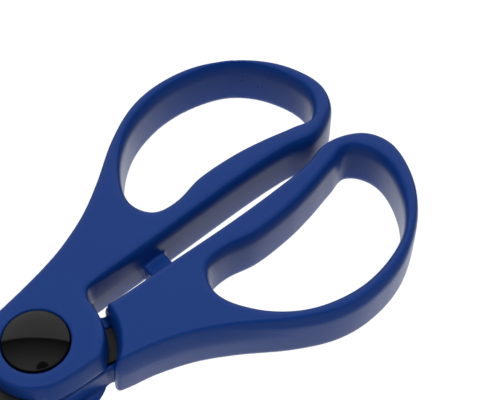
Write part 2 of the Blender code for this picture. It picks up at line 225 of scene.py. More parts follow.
@dataclass(frozen=True)
class MouldedPlastic:
    """Soft-blue moulded handle plastic: satin faces, fine eroded grain on the side walls, and a
    painted sheen that makes the side walls slightly paler than the tops.
    """

    colour: Colour = (0.0025, 0.0410, 0.2550)
    pale: Colour = (0.0060, 0.0560, 0.2850)
    satin: float = 0.40
    wall_roughness: float = 0.30

    def material(self, name: str) -> bpy.types.Material:
        """Build the material.

        Args:
            name: Name of the new material.

        Returns:
            The material.
        """
        material, shader, surface = new_shader(name)
        wall = (1.0 - abs(shader.normal_axis("Z"))).step(0.35, 0.95)
        cloud = shader.noise(shader.place(), 55.0, 4.0, 0.55)
        handled = shader.noise(shader.place((1.0, 1.0, 0.4)), 210.0, 5.0, 0.6)
        # Base colour: random cloudy tone, plus a painted sheen that pales the side walls (the wall
        # term).
        tone_and_wall_sheen = (cloud * 0.5 + handled * 0.25 + wall * 0.15).clamped()
        shader.feed(surface.inputs["Base Color"], shader.mix(tone_and_wall_sheen, self.colour, self.pale))

        scuffs = shader.noise(shader.place((3.0, 0.25, 1.0)), 900.0, 2.0, 0.7).step(0.62, 0.80)
        rough = (cloud - 0.5) * 0.08 + (handled - 0.5) * 0.10
        rough = rough + wall * (self.wall_roughness - self.satin) + self.satin + scuffs * 0.03
        shader.feed(surface.inputs["Roughness"], rough.clamped())

        grain = shader.noise(shader.place(), 3000.0, 3.0, 0.7)
        skin = shader.noise(shader.place(), 1500.0, 2.0, 0.5)
        height = grain * (wall * 0.8 + 0.2) + skin * 0.35
        shader.feed(surface.inputs["Normal"], shader.bump(height, 0.45, 0.06 * MM))
        surface.inputs["IOR"].default_value = 1.49
        return material


@dataclass(frozen=True)
class CapPlastic:
    """Glossy black cover plastic."""

    colour: Colour = (0.0040, 0.0040, 0.0042)
    roughness: float = 0.07

    def material(self, name: str) -> bpy.types.Material:
        """Build the material.

        Args:
            name: Name of the new material.

        Returns:
            The material.
        """
        material, shader, surface = new_shader(name)
        dust = shader.noise(shader.place(), 2600.0, 2.0, 0.6).step(0.66, 0.80)
        film = shader.noise(shader.place(), 320.0, 4.0, 0.6)
        shader.feed(
            surface.inputs["Base Color"],
            shader.mix(dust * 0.25, self.colour, (0.020, 0.020, 0.021)))
        rough = film * 0.06 + dust * 0.10 + (self.roughness - 0.03)
        shader.feed(surface.inputs["Roughness"], rough.clamped())
        swell = shader.noise(shader.place(), 240.0, 1.0, 0.4)
        shader.feed(surface.inputs["Normal"], shader.bump(swell, 0.10, 0.05 * MM))
        surface.inputs["IOR"].default_value = 1.50
        return material


@dataclass(frozen=True)
class CoatedSteel:
    """Dark non-stick coating over brushed blade steel, ground bare at the cutting bevel."""

    coat: Colour = (0.0170, 0.0175, 0.0150)
    steel: Colour = (0.55, 0.55, 0.54)
    roughness: float = 0.34

    def material(self, name: str) -> bpy.types.Material:
        """Build the material.

        Args:
            name: Name of the new material.

        Returns:
            The material.
        """
        material, shader, surface = new_shader(name)
        bare = shader.add("ShaderNodeAttribute", {"attribute_name": "ground"}, {}, "Fac")
        brushing = shader.noise(shader.place((6.0, 260.0, 60.0)), 14.0, 4.0, 0.65)
        grinding = shader.noise(shader.place((420.0, 9.0, 9.0)), 18.0, 4.0, 0.7)
        cloud = shader.noise(shader.place(), 90.0, 3.0, 0.5)
        coat = shader.mix(cloud * 0.6, self.coat, (0.026, 0.026, 0.022))
        bright = shader.mix(grinding, self.steel, (0.36, 0.36, 0.355))
        shader.feed(surface.inputs["Base Color"], shader.mix(bare, coat, bright))
        shader.feed(surface.inputs["Metallic"], (bare * 0.95).clamped())
        rough = brushing * 0.12 + grinding * 0.06 + cloud * 0.05 + (self.roughness - 0.11)
        shader.feed(surface.inputs["Roughness"], (rough - bare * 0.08).clamped())
        lines = brushing * (1.0 - bare) * 0.5 + grinding * bare
        shader.feed(surface.inputs["Normal"], shader.bump(lines, 0.35, 0.012 * MM))
        return material


class MetalTone(Enum):
    """Tones of the pivot's bright hardware."""

    ZINC = (0.56, 0.57, 0.58)
    NICKEL = (0.62, 0.60, 0.57)
    SPRING = (0.30, 0.29, 0.28)


@dataclass(frozen=True)
class HardwareSteel:
    """Turned or stamped steel hardware."""

    tone: MetalTone
    roughness: float = 0.26

    def material(self, name: str) -> bpy.types.Material:
        """Build the material.

        Args:
            name: Name of the new material.

        Returns:
            The material.
        """
        material, shader, surface = new_shader(name)
        speckle = shader.noise(shader.place(), 1800.0, 3.0, 0.6)
        film = shader.noise(shader.place(), 380.0, 3.0, 0.5)
        dark = tuple(0.78 * part for part in self.tone.value)
        shader.feed(
            surface.inputs["Base Color"], shader.mix(film, self.tone.value, dark))
        surface.inputs["Metallic"].default_value = 1.0
        shader.feed(
            surface.inputs["Roughness"],
            (speckle * 0.10 + film * 0.08 + (self.roughness - 0.09)).clamped())
        shader.feed(surface.inputs["Normal"], shader.bump(speckle, 0.2, 0.02 * MM))
        return material


@dataclass(frozen=True)
class WasherNylon:
    """Natural nylon of the thrust washer."""

    colour: Colour = (0.72, 0.70, 0.62)

    def material(self, name: str) -> bpy.types.Material:
        """Build the material.

        Args:
            name: Name of the new material.

        Returns:
            The material.
        """
        material, shader, surface = new_shader(name)
        cloud = shader.noise(shader.place(), 500.0, 3.0, 0.5)
        shader.feed(
            surface.inputs["Base Color"],
            shader.mix(cloud, self.colour, (0.62, 0.60, 0.52)))
        shader.feed(surface.inputs["Roughness"], (cloud * 0.12 + 0.40).clamped())
        shader.feed(surface.inputs["Normal"], shader.bump(cloud, 0.2, 0.03 * MM))
        surface.inputs["Subsurface Weight"].default_value = 0.15
        surface.inputs["Subsurface Scale"].default_value = 0.6 * MM
        return material


# ------------------------------------------------------------------------------ outlines, in mm


def arc(radius: float, start: float, end: float, steps: int) -> List[Vector]:
    """Return points on a circle about the pivot.

    Args:
        radius: Radius of the circle.
        start: First angle, in degrees.
        end: Last angle, in degrees.
        steps: Number of chords.

    Returns:
        The points, both ends included.
    """
    points = []
    for index in range(steps + 1):
        angle = math.radians(start + (end - start) * index / steps)
        points.append(Vector((radius * math.cos(angle), radius * math.sin(angle))))
    return points


def smooth(knots: Sequence[Sequence[float]], steps: int, closed: bool = False) -> List[Vector]:
    """Return points on a curve that passes smoothly through the knots.

    Args:
        knots: Points that the curve passes through.
        steps: Number of chords between two knots.
        closed: Whether the curve returns to its first knot.

    Returns:
        The points of the curve.
    """
    places = [Vector(knot) for knot in knots]
    count = len(places)
    points: List[Vector] = []
    for index in range(count if closed else count - 1):
        first = places[index]
        second = places[(index + 1) % count]
        before = places[index - 1] if closed or index else first
        after = places[(index + 2) % count] if closed or index + 2 < count else second
        reach = (second - first).length / 3.0
        leave = first + (second - before).normalized() * reach
        arrive = second - (after - first).normalized() * reach
        points.extend(interpolate_bezier(first, leave, arrive, second, steps + 1)[:-1])
    if not closed:
        points.append(places[-1])
    return [Vector(point[:2]) for point in points]


def rounded_corner(before: Vector, corner: Vector, after: Vector, radius: float,
                   steps: int) -> List[Vector]:
    """Return the arc that rounds the corner between two straight runs.

    Args:
        before: A point on the run that arrives.
        corner: Where the two runs would meet.
        after: A point on the run that leaves.
        radius: Radius of the rounding.
        steps: Number of chords.

    Returns:
        The points of the arc.
    """
    to_before = (before - corner).normalized()
    to_after = (after - corner).normalized()
    half_angle = to_before.angle(to_after) / 2.0
    inward = (to_before + to_after).normalized()
    centre = corner + inward * (radius / math.sin(half_angle))
    run = radius / math.tan(half_angle)
    start = corner + to_before * run - centre
    turn = start.angle_signed(corner + to_after * run - centre)
    across = Vector((-start.y, start.x))
    points = []
    for index in range(steps + 1):
        angle = -turn * index / steps
        points.append(centre + start * math.cos(angle) + across * math.sin(angle))
    return points


def grown(outline: Sequence[Vector], distance: float) -> List[Vector]:
    """Return a counter-clockwise outline moved outwards.

    Args:
        outline: The outline.
        distance: How far each point is moved.

    Returns:
        The moved outline.
    """
    count = len(outline)
    points = []
    for index in range(count):
        run = outline[(index + 1) % count] - outline[index - 1]
        outward = Vector((run.y, -run.x)).normalized()
        points.append(outline[index] + outward * distance)
    return points


def wound(outline: Sequence[Vector], anticlockwise: bool) -> List[Vector]:
    """Return the outline without doubled points, running the way that is asked.

    Args:
        outline: The outline.
        anticlockwise: The way that it has to run.

    Returns:
        The mended outline.
    """
    points = [
        point for index, point in enumerate(outline)
        if (point - outline[index - 1]).length > SAME_POINT]
    area = sum(
        point.x * points[index - 1].y - points[index - 1].x * point.y
        for index, point in enumerate(points))
    if (area < 0.0) != anticlockwise:
        points.reverse()
    return points


# ------------------------------------------------------------------------------ solids


def finish_mesh(shape: bmesh.types.BMesh, name: str, sharp: float = 35.0) -> bpy.types.Object:
    """Turn a bmesh in millimetres into a shown object in metres.

    Args:
        shape: The bmesh, which is freed.
        name: Name of the new object.
        sharp: Edges that turn by more than this many degrees stay crisp.

    Returns:
        The object, linked to the scene.
    """
    bmesh.ops.remove_doubles(shape, verts=shape.verts, dist=SAME_CORNER)
    bmesh.ops.recalc_face_normals(shape, faces=shape.faces)
    bmesh.ops.scale(shape, vec=(MM, MM, MM), verts=shape.verts)
    mesh = bpy.data.meshes.new(name)
    shape.to_mesh(mesh)
    shape.free()
    mesh.shade_smooth()
    mesh.set_sharp_from_angle(angle=math.radians(sharp))
    item = bpy.data.objects.new(name, mesh)
    bpy.context.scene.collection.objects.link(item)
    return item


def turned(profile: Sequence[Point2], steps: int) -> bmesh.types.BMesh:
    """Return a closed solid turned about the pivot axis.

    Args:
        profile: Points of (radius, height) that start and end on the axis, or close on
            themselves when they start off it.
        steps: Number of steps in the full turn.

    Returns:
        The solid, in millimetres.
    """
    shape = bmesh.new()
    corners = [shape.verts.new((radius, 0.0, height)) for radius, height in profile]
    edges = [shape.edges.new(pair) for pair in zip(corners, corners[1:])]
    if profile[0][0] > 0.0:
        edges.append(shape.edges.new((corners[-1], corners[0])))
    bmesh.ops.spin(
        shape, geom=corners + edges, cent=(0.0, 0.0, 0.0), axis=(0.0, 0.0, 1.0),
        dvec=(0.0, 0.0, 0.0), angle=2.0 * math.pi, steps=steps, use_merge=True)
    bmesh.ops.remove_doubles(shape, verts=shape.verts, dist=SAME_CORNER)
    bmesh.ops.recalc_face_normals(shape, faces=shape.faces)
    return shape


def sheet(loops: Sequence[Sequence[Vector]], height: float) -> bmesh.types.BMesh:
    """Return a flat sheet that faces up.

    Args:
        loops: Its outer outline and the outlines of its holes.
        height: Its height.

    Returns:
        The sheet, in millimetres.
    """
    shape = bmesh.new()
    for loop in loops:
        corners = [shape.verts.new((point.x, point.y, height)) for point in loop]
        for index, corner in enumerate(corners):
            shape.edges.new((corner, corners[(index + 1) % len(corners)]))
    bmesh.ops.triangle_fill(shape, use_beauty=True, edges=shape.edges, normal=(0.0, 0.0, 1.0))
    for face in shape.faces:
        if face.normal.z < 0.0:
            face.normal_flip()
    return shape


def prism(loops: Sequence[Sequence[Vector]], bottom: float, top: float) -> bmesh.types.BMesh:
    """Return an upright solid.

    Args:
        loops: Its outer outline and the outlines of its holes.
        bottom: Height of its lower face.
        top: Height of its upper face.

    Returns:
        The solid, in millimetres.
    """
    shape = sheet(loops, bottom)
    raised = bmesh.ops.extrude_face_region(shape, geom=list(shape.faces))
    corners = [item for item in raised["geom"] if isinstance(item, bmesh.types.BMVert)]
    bmesh.ops.translate(shape, verts=corners, vec=(0.0, 0.0, top - bottom))
    bmesh.ops.recalc_face_normals(shape, faces=shape.faces)
    return shape


def block(low: Vector, high: Vector) -> bmesh.types.BMesh:
    """Return a box.

    Args:
        low: Its lowest corner on every axis.
        high: Its highest corner.

    Returns:
        The box, in millimetres.
    """
    shape = bmesh.new()
    bmesh.ops.create_cube(shape, size=1.0)
    bmesh.ops.scale(shape, verts=shape.verts, vec=high - low)
    bmesh.ops.translate(shape, verts=shape.verts, vec=0.5 * (high + low))
    return shape


def crowned_plate(loops: Sequence[Sequence[Vector]], firm: Sequence[Point2],
                  soft: Sequence[Point2],
                  softness: Callable[[Vector], float]) -> bmesh.types.BMesh:
    """Return a plate whose walls follow a profile from its lower face to its upper face.

    Args:
        loops: Widest outlines, counter-clockwise outside and clockwise inside.
        firm: Wall points of (inset, height), from the lower face up, where softness is 0.
        soft: As many wall points again, where softness is 1.
        softness: Share of the soft profile at a point of an outline.

    Returns:
        The plate, in millimetres.
    """
    shape = bmesh.new()
    outward = shape.verts.layers.float_vector.new("outward")
    share = shape.verts.layers.float.new("share")
    for loop in loops:
        moved = grown(loop, 1.0)
        corners = [shape.verts.new((point.x, point.y, 0.0)) for point in loop]
        for index, corner in enumerate(corners):
            corner[outward] = (*(moved[index] - loop[index]), 0.0)
            corner[share] = softness(loop[index])
            shape.edges.new((corner, corners[(index + 1) % len(corners)]))

    def move(corner: bmesh.types.BMVert, step: int, before: int) -> None:
        """Move a corner from one step of the wall profile to another.

        Args:
            corner: The corner.
            step: The step that it moves to.
            before: The step that it is at, or -1 where it is on the outline itself.
        """
        for profile, part in ((firm, 1.0 - corner[share]), (soft, corner[share])):
            start = profile[before] if before >= 0 else (0.0, 0.0)
            corner.co -= corner[outward] * (part * (profile[step][0] - start[0]))
            corner.co.z += part * (profile[step][1] - start[1])

    for corner in shape.verts:
        move(corner, 0, -1)
    bottom = list(shape.edges)
    rim = bottom
    for step in range(1, len(firm)):
        raised = bmesh.ops.extrude_edge_only(shape, edges=rim)["geom"]
        rim = [item for item in raised if isinstance(item, bmesh.types.BMEdge)]
        for corner in raised:
            if isinstance(corner, bmesh.types.BMVert):
                move(corner, step, step - 1)
    bmesh.ops.triangle_fill(shape, use_beauty=True, edges=rim, normal=(0.0, 0.0, 1.0))
    bmesh.ops.triangle_fill(shape, use_beauty=True, edges=bottom, normal=(0.0, 0.0, -1.0))
    bmesh.ops.recalc_face_normals(shape, faces=shape.faces)
    return shape


def applied(item: bpy.types.Object) -> bpy.types.Object:
    """Bake an object's modifiers into its mesh.

    Args:
        item: The object.

    Returns:
        The same object.
    """
    graph = bpy.context.evaluated_depsgraph_get()
    mesh = bpy.data.meshes.new_from_object(item.evaluated_get(graph))
    item.modifiers.clear()
    item.data = mesh
    return item


def boolean(target: bpy.types.Object, other: bpy.types.Object, operation: str) -> None:
    """Cut or join one object with another, which is then removed.

    Args:
        target: Object that is changed.
        other: Object that cuts or joins it.
        operation: DIFFERENCE or UNION.
    """
    modifier = target.modifiers.new("cut", "BOOLEAN")
    modifier.operation = operation
    modifier.solver = "EXACT"
    modifier.object = other
    applied(target)
    bpy.data.objects.remove(other)


# ------------------------------------------------------------------------------ shared sizes


@dataclass(frozen=True)
class Pivot:
    """Sizes in millimetres that the two halves share."""

    thickness: float = 15.0
    slide_gap: float = 0.3
    clearance: float = 0.3
    blade_thickness: float = 1.85
    cap_radius: float = 7.6

    @property
    def meeting(self) -> float:
        """Height of a half's meeting face, in its own frame."""
        return 0.5 * (self.thickness + self.slide_gap)

    @property
    def blade_top(self) -> float:
        """Height of a blade's outer face, in its own frame."""
        return self.meeting + self.blade_thickness

    @property
    def seat_radius(self) -> float:
        """Radius of the cap's seat."""
        return self.cap_radius + self.clearance


class Half(Enum):
    """The two halves, by the CAD body that each one rides on."""

    UPPER = "upper_half"
    LOWER = "lower_half"

    @property
    def prefix(self) -> str:
        """Start of the names of this half's pieces."""
        return self.value.split("_")[0]


PIVOT = Pivot()


def settle(item: bpy.types.Object, half: Half, material: bpy.types.Material,
           nodes: Sequence[str]) -> None:
    """Dress a piece, turn it over if it is a lower one, and hand it to its CAD body.

    Args:
        item: The finished piece, drawn in its half's own frame.
        half: The half it belongs to.
        material: Its material.
        nodes: CAD nodes that it stands for.
    """
    item.data.materials.clear()
    item.data.materials.append(material)
    if half is Half.LOWER:
        over = Matrix.Translation((0.0, 0.0, PIVOT.thickness * MM)) @ Matrix.Rotation(
            math.pi, 4, "X")
        item.data.transform(over)
    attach(item, half.value)
    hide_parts(*nodes)
    log.info("%s: %d faces on %s", item.name, len(item.data.polygons), half.value)


# ------------------------------------------------------------------------------ handles


@dataclass(frozen=True)
class Bow:
    """Sizes of one handle in plan, in millimetres."""

    end: float
    reach: float
    hole_start: float
    end_wall: float
    side_wall: float
    bar_width: float
    gap_half: float
    nose_gap_half: float
    gap_taper: float
    neck_swell: float

    @property
    def hole_length(self) -> float:
        """Finger hole along the handle."""
        return self.end - self.end_wall - self.hole_start

    @property
    def hole_near(self) -> float:
        """Long axis to the finger hole."""
        return self.gap_half + self.bar_width

    @property
    def hole_width(self) -> float:
        """Finger hole across the handle."""
        return self.reach - self.side_wall - self.hole_near


# Points of (share along, share across) that the bow's curves pass through.
HOLE_SHAPE: Tuple[Point2, ...] = (
    (0.00, 0.26), (0.07, 0.56), (0.19, 0.80), (0.33, 0.94), (0.51, 1.00), (0.70, 0.94),
    (0.84, 0.80), (0.95, 0.52), (1.00, 0.14), (0.93, -0.12), (0.82, -0.09), (0.67, -0.02),
    (0.51, 0.03), (0.31, 0.04), (0.15, -0.02), (0.04, 0.03),
)
BAR_SHAPE: Tuple[Point2, ...] = ((0.25, 0.2), (0.50, 0.2), (0.72, -0.4))
OUTER_SHAPE: Tuple[Point2, ...] = (
    (0.125, 0.380), (0.195, 0.428), (0.286, 0.523), (0.371, 0.654), (0.479, 0.846),
    (0.576, 0.964), (0.670, 1.000), (0.780, 0.958), (0.877, 0.830), (0.945, 0.668),
    (0.985, 0.490), (1.000, 0.310), (0.980, 0.165), (0.935, 0.075),
)
NECK_SHARE = 0.45    # share of the outer curve that the neck's swell fades over


@dataclass(frozen=True)
class Rounding:
    """How one edge of a handle is rounded, in millimetres."""

    draft: float
    inset: float
    height: float
    hollow: float = 1.4
    steps: int = 8

    def points(self, middle: float) -> List[Point2]:
        """Return the wall's profile from the middle plane outwards.

        Args:
            middle: Distance from the middle plane to the face.

        Returns:
            Points of (inset, height above the middle plane).
        """
        straight = middle - self.height
        points = [
            (self.draft * share ** self.hollow, straight * share)
            for share in (0.25, 0.5, 0.75, 1.0)]
        for step in range(1, self.steps + 1):
            angle = math.radians(90.0 * step / self.steps)
            points.append((
                self.draft + self.inset * (1.0 - math.cos(angle)),
                straight + self.height * math.sin(angle)))
        return points


@dataclass
class Handle:
    """One moulded handle: finger bow, hub with its cap seat, and the blade's pocket."""

    half: Half
    bow: Bow
    has_stop: bool
    finish: MouldedPlastic = field(default_factory=MouldedPlastic)
    hub_radius: float = 12.4
    hub_side: float = 12.8
    tail_radius: float = 15.9
    hub_corner: float = 2.6
    shoulder_radius: float = 17.5
    shoulder_corner: float = 1.1
    shoulder_flare: float = 1.3
    shoulder_lean: Point2 = (-0.5, 1.4)
    firm_edge: Rounding = Rounding(0.55, 1.0, 1.1)
    soft_edge: Rounding = Rounding(0.0, 1.6, 4.4)
    firm_under: Rounding = Rounding(0.20, 0.5, 0.5)
    soft_under: Rounding = Rounding(0.05, 0.5, 1.4)
    gap_lead: float = 13.0
    gap_zone: Point2 = (16.0, 7.5)
    grip_start: float = 24.0
    grip_blend: float = 26.0
    step_side: float = 13.05
    step_back: float = -3.0
    step_front: float = 3.3
    step_reach: float = 18.0
    flange_radius: float = 15.6
    flange_thickness: float = 0.7
    stop_start: float = 32.4
    stop_length: float = 6.1
    stop_face: float = -3.0
    stop_root: float = 6.4
    stop_drop: float = 1.5
    voxel: float = 0.40

    def finger_hole(self) -> List[Vector]:
        """Draw the finger hole.

        Returns:
            Its outline, clockwise.
        """
        bow = self.bow
        knots = [
            (bow.hole_start + along * bow.hole_length, bow.hole_near + across * bow.hole_width)
            for along, across in HOLE_SHAPE]
        return wound(smooth(knots, 8, closed=True), False)

    def outline(self) -> List[Vector]:
        """Draw the hub and the bow together.

        Returns:
            Their outline, counter-clockwise.
        """
        bow = self.bow
        tail_start = math.degrees(math.asin(-self.hub_side / self.tail_radius))
        tail = arc(self.tail_radius, tail_start, 3.0, 24)
        side_start = Vector((0.25 * self.hub_radius, -self.hub_side))
        points = arc(self.hub_radius, 96.0, 262.0, 60)
        points.append(side_start)
        points.extend(rounded_corner(side_start, tail[0], tail[6], self.hub_corner, 8))
        points.extend(tail[6:])
        knots: List[Point2] = [
            (self.tail_radius + 0.5, 1.8 - 1.2 * bow.gap_taper),
            (self.tail_radius + 1.5, bow.gap_half - 1.6 * bow.gap_taper - 0.25),
            (self.tail_radius + 3.4, bow.gap_half - bow.gap_taper),
            (bow.hole_start - 4.0, bow.gap_half - 0.4 * bow.gap_taper)]
        for along, narrowing in BAR_SHAPE:
            knots.append((bow.hole_start + along * bow.hole_length, bow.gap_half + narrowing))
        knots.append((bow.hole_start + 0.86 * bow.hole_length, bow.nose_gap_half))
        for along, across in reversed(OUTER_SHAPE):
            swell = bow.neck_swell * max(0.0, 1.0 - along / NECK_SHARE)
            knots.append((along * bow.end, across * bow.reach + swell))
        knots.append((0.40 * self.hub_radius, self.hub_radius + 0.95 + 0.5 * bow.neck_swell))
        points.extend(smooth(knots, 10))
        return wound(points, True)

    def wall_profile(self, upper: Rounding, under: Rounding) -> List[Point2]:
        """Return the side wall's profile, from the lower face of the half's own frame up.

        Args:
            upper: Rounding of the edge that is uppermost when the tool lies closed.
            under: Rounding of the opposite edge.

        Returns:
            Points of (inset, height).
        """
        middle = 0.5 * PIVOT.thickness
        if self.half is Half.LOWER:
            upper, under = under, upper
        low = [(inset, middle - height) for inset, height in reversed(under.points(middle))]
        high = [(inset, middle + height) for inset, height in upper.points(middle)]
        return low + [(0.0, middle)] + high

    def softness(self, point: Vector) -> float:
        """Say how far the edge has turned from the firm hub into the soft grip.

        Args:
            point: A point of an outline.

        Returns:
            0 at the hub, 1 at the grip. The gap's side changes sooner or later by gap_lead.
        """
        gap_side = point.x > self.gap_zone[0] and point.y < self.gap_zone[1]
        along = point.x + self.gap_lead if gap_side else point.x
        share = min(1.0, max(0.0, (along - self.grip_start) / self.grip_blend))
        return share * share * (3.0 - 2.0 * share)

    def shoulder_cutter(self) -> bpy.types.Object:
        """Turn the flared solid that makes room for the other half's hub.

        Returns:
            The cutter.
        """
        reach = self.shoulder_radius
        flare = self.shoulder_flare
        profile = (
            (0.0, PIVOT.meeting), (reach, PIVOT.meeting), (reach + 0.10 * flare, 5.0),
            (reach + 0.32 * flare, 3.0), (reach + 0.65 * flare, 1.3), (reach + flare, 0.2),
            (reach + flare + 0.5, -0.15), (reach + flare + 1.0, CUT_LOW), (0.0, CUT_LOW))
        shape = turned(profile, 192)
        for corner in shape.verts:
            lean = 1.0 - corner.co.z / PIVOT.meeting
            corner.co.x += self.shoulder_lean[0] * lean
            corner.co.y += self.shoulder_lean[1] * lean
        return finish_mesh(shape, "shoulder_cutter")

    def side_step(self) -> bpy.types.Object:
        """Draw the cutter that sets the hub's side in from the neck, out to the shoulder.

        Returns:
            The cutter.
        """
        first = math.degrees(math.asin(self.step_side / self.shoulder_radius))
        side = self.hub_radius + SAME_POINT
        outline = [Vector((self.step_back, side)), Vector((self.step_front, side))]
        outline.extend(arc(self.shoulder_radius, first, 66.0, 16))
        outline.append(Vector((self.step_back, self.step_reach)))
        return finish_mesh(prism([wound(outline, True)], 5.0, CUT_HIGH), "side_step")

    def corner_cutter(self) -> bpy.types.Object:
        """Draw the cutter that rounds the upright edge between the shoulder and the neck.

        Returns:
            The cutter.
        """
        near = [point for point in self.outline() if point.y > 10.0 and point.x > 0.0]
        inside = max(
            (point for point in near if point.length < self.shoulder_radius),
            key=lambda point: point.length)
        after = min(
            (point for point in near if point.length > self.shoulder_radius + 1.0),
            key=lambda point: point.length)
        share = (self.shoulder_radius - inside.length) / (after.length - inside.length)
        corner = inside.lerp(after, share)
        before = corner + Vector((corner.y, -corner.x)).normalized()
        rounding = rounded_corner(before, corner, after, self.shoulder_corner, 8)
        centre = 0.5 * (rounding[0] + rounding[-1])
        tip = corner + (corner - centre).normalized() * 1.2
        outline = wound([tip] + rounding, True)
        return finish_mesh(prism([outline], CUT_LOW, CUT_HIGH), "corner_cutter")

    def flange(self) -> bpy.types.Object:
        """Turn the thin round flange.

        Returns:
            The flange, a hair below the hub's outer face so that no two faces coincide.
        """
        top = PIVOT.thickness - 0.04
        edge = self.flange_radius
        profile = (
            (0.0, top), (edge - 0.2, top), (edge, top - 0.2),
            (edge, top - self.flange_thickness), (0.0, top - self.flange_thickness))
        return finish_mesh(turned(profile, 128), "flange")

    def seat_cutter(self) -> bpy.types.Object:
        """Turn the solid that opens the cover's seat, with a small chamfer at its rim.

        Returns:
            The cutter.
        """
        top = PIVOT.thickness
        wide = PIVOT.seat_radius + 0.25
        profile = (
            (0.0, top + 2.0), (wide, top + 2.0), (wide, top + 0.02),
            (PIVOT.seat_radius, top - 0.25), (PIVOT.seat_radius, 5.0), (0.0, 5.0))
        return finish_mesh(turned(profile, 160), "seat_cutter")

    def pocket_cutter(self) -> bpy.types.Object:
        """Return the room that the blade and its tang take up."""
        return finish_mesh(prism(
            [grown(blade_outline(), PIVOT.clearance)], PIVOT.meeting - PIVOT.clearance,
            PIVOT.blade_top + PIVOT.clearance), "pocket")

    def stop(self) -> bpy.types.Object:
        """Shape the closing stop, which reaches across the gap to the other bar.

        Returns:
            The stop.
        """
        shape = block(
            Vector((self.stop_start, self.stop_face, self.stop_drop)),
            Vector((self.stop_start + self.stop_length, self.stop_root, 0.5 * PIVOT.thickness)))
        bmesh.ops.bevel(
            shape, geom=list(shape.edges), offset=0.35, segments=3, profile=0.5,
            affect="EDGES", material=-1)
        return finish_mesh(shape, "stop")

    def build(self) -> bpy.types.Object:
        """Build the handle's mesh.

        Returns:
            The handle, in its half's own frame.
        """
        handle = finish_mesh(crowned_plate(
            [self.outline(), self.finger_hole()],
            self.wall_profile(self.firm_edge, self.firm_under),
            self.wall_profile(self.soft_edge, self.soft_under), self.softness),
            f"{self.half.prefix}_handle_shell")
        boolean(handle, self.shoulder_cutter(), "DIFFERENCE")
        if self.half is Half.LOWER:
            boolean(handle, self.side_step(), "DIFFERENCE")
            boolean(handle, self.corner_cutter(), "DIFFERENCE")
            boolean(handle, self.flange(), "UNION")
        boolean(handle, self.seat_cutter(), "DIFFERENCE")
        boolean(handle, self.pocket_cutter(), "DIFFERENCE")
        if self.has_stop:
            boolean(handle, self.stop(), "UNION")
        remesh = handle.modifiers.new("even", "REMESH")
        remesh.mode = "VOXEL"
        remesh.voxel_size = self.voxel * MM
        remesh.use_smooth_shade = True
        ease = handle.modifiers.new("ease", "SMOOTH")
        ease.factor = 0.5
        ease.iterations = 4
        return applied(handle)

    def dress(self, handle: bpy.types.Object) -> None:
        """Give the handle its plastic and hand it to its body."""
        material = self.finish.material(f"{self.half.prefix}_handle_plastic")
        settle(handle, self.half, material, [f"{self.half.prefix}_handle"])


# ------------------------------------------------------------------------------ blades


@dataclass(frozen=True)
class BladeShape:
    """Sizes of a blade in plan, in millimetres."""

    reach: float = 112.0
    hub_radius: float = 10.6
    tip_half: float = 1.6
    tip_length: float = 3.0
    heel_start: float = 17.0
    heel_height: float = 5.2
    edge_land: float = 0.35
    edge_bevel: float = 3.4
    tang_end: float = 35.0
    tang_width: float = 8.6
    tang_rise: float = 6.0
    bar_face: float = 3.1


BLADE = BladeShape()


def blade_outline() -> List[Vector]:
    """Draw a blade and its tang.

    Returns:
        Their outline, counter-clockwise.
    """
    tip = Vector((-BLADE.reach, 0.0))
    spine_tip = Vector((BLADE.tip_length - BLADE.reach, -BLADE.tip_half))
    edge_tip = Vector((BLADE.tip_length - BLADE.reach, 0.5 * BLADE.tip_half))
    points = smooth(
        (edge_tip, tip + Vector((0.4, 0.3)), tip + Vector((0.3, -0.4)), spine_tip), 5)
    points.extend(arc(BLADE.hub_radius, -94.7, -6.0, 24))
    points.extend((
        Vector((15.3, BLADE.bar_face + 1.3)), Vector((21.0, BLADE.bar_face + 2.4)),
        Vector((BLADE.tang_end, BLADE.bar_face + BLADE.tang_rise)),
        Vector((BLADE.tang_end, BLADE.bar_face + BLADE.tang_rise + BLADE.tang_width))))
    points.extend(arc(BLADE.hub_radius, 68.0, 150.0, 20))
    points.append(Vector((-BLADE.heel_start, BLADE.heel_height)))
    return wound(points, True)


